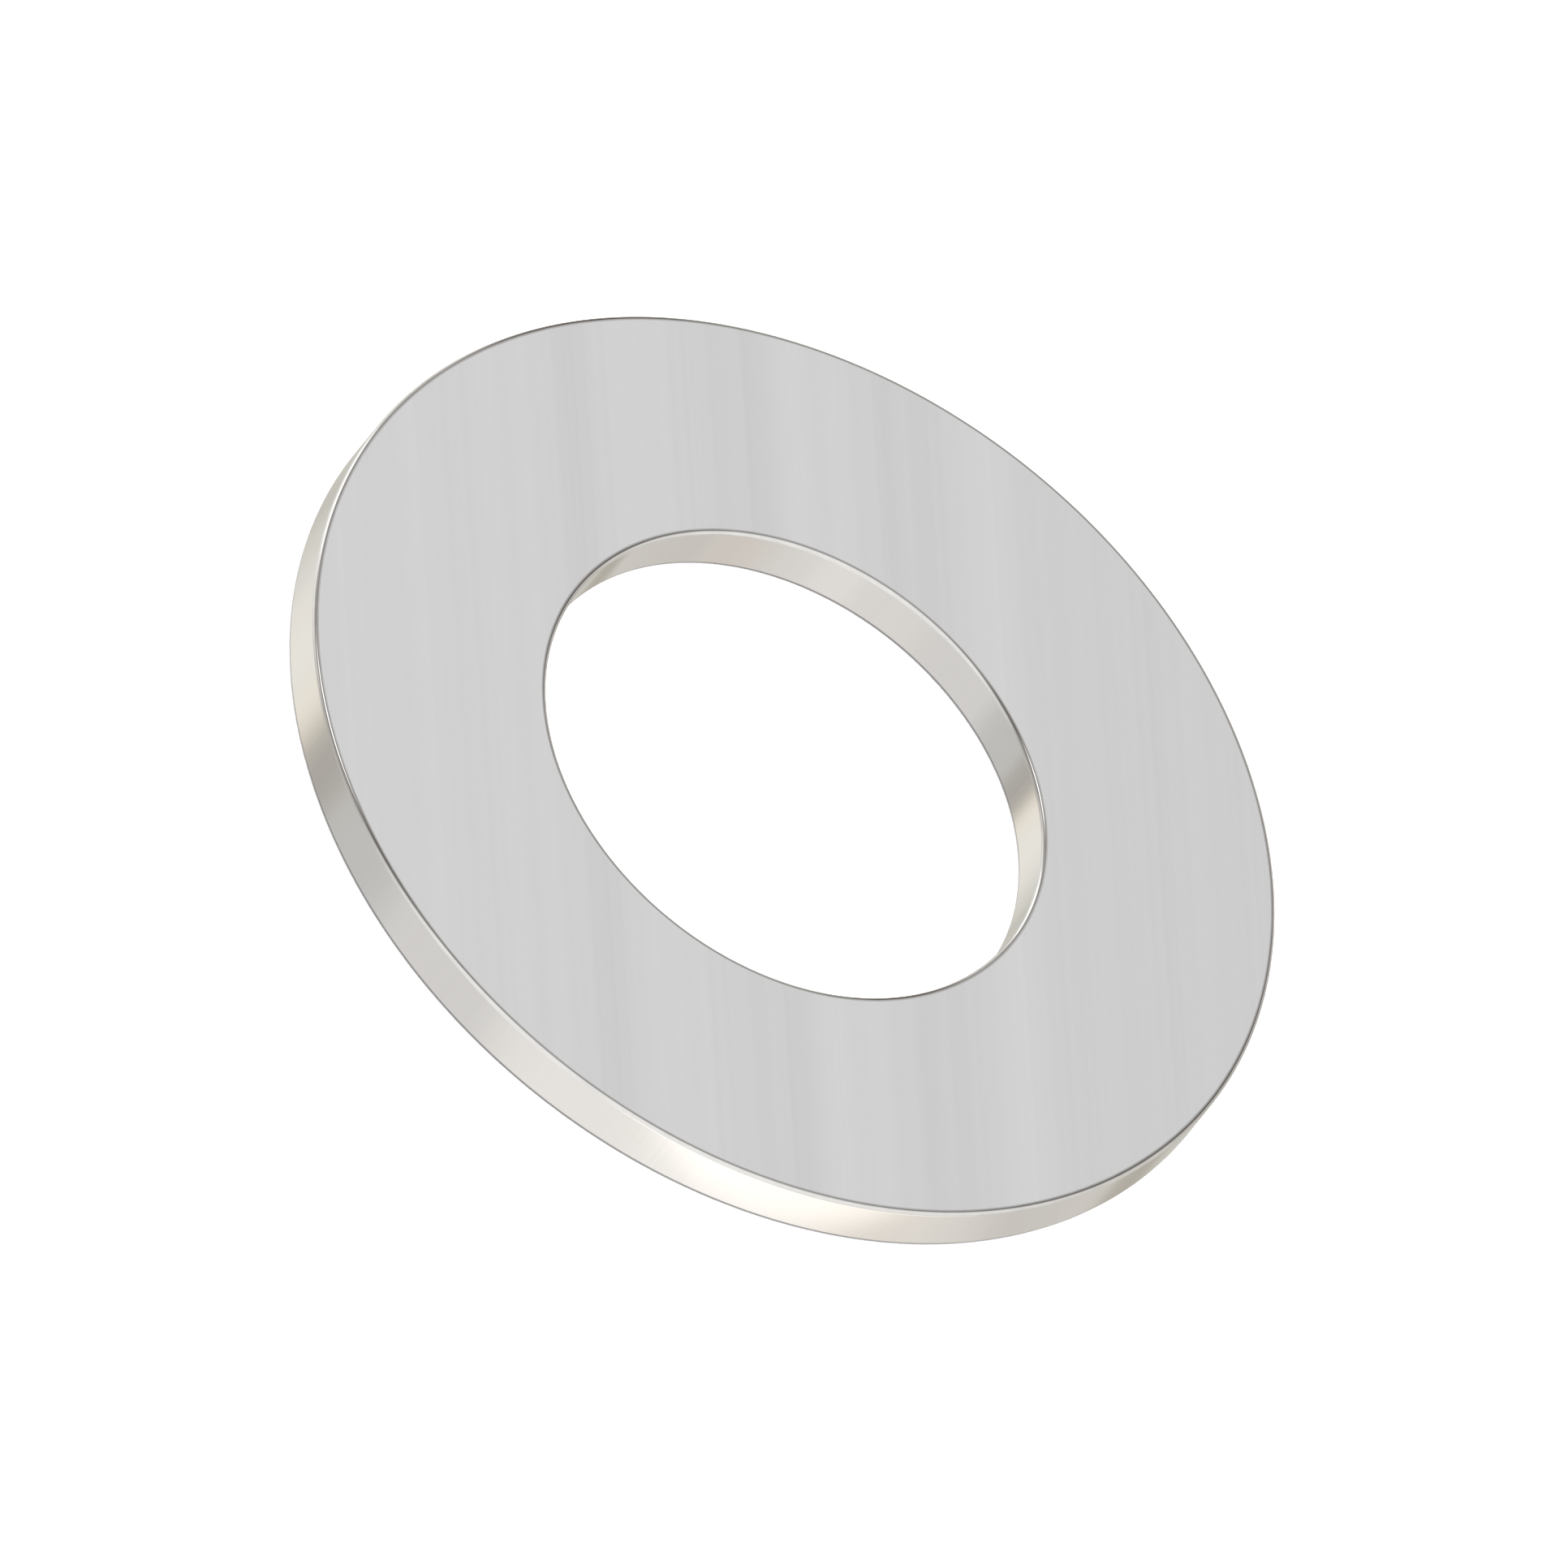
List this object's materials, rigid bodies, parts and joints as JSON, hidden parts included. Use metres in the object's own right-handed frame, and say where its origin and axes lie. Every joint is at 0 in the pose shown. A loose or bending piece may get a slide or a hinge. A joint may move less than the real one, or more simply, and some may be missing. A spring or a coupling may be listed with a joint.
{
  "type": "flat washer",
  "caption": "Plain round flat washer of thin stainless sheet with a central hole and softly eased edges; spreads the load under a bolt head or nut.",
  "frame": {"origin": "centre of the lower seating face, on the axis of the hole", "axes": "+Z along the washer's axis, from the lower face to the upper face; +Y along the rolling grain of the sheet; +X across it"},
  "size_m": [0.02, 0.02, 0.001],
  "materials": {
    "steel": "satin faces with a faint straight rolling grain, smooth bright edges"
  },
  "bodies": {
    "root": {"washer": "steel"}
  },
  "joints": []
}
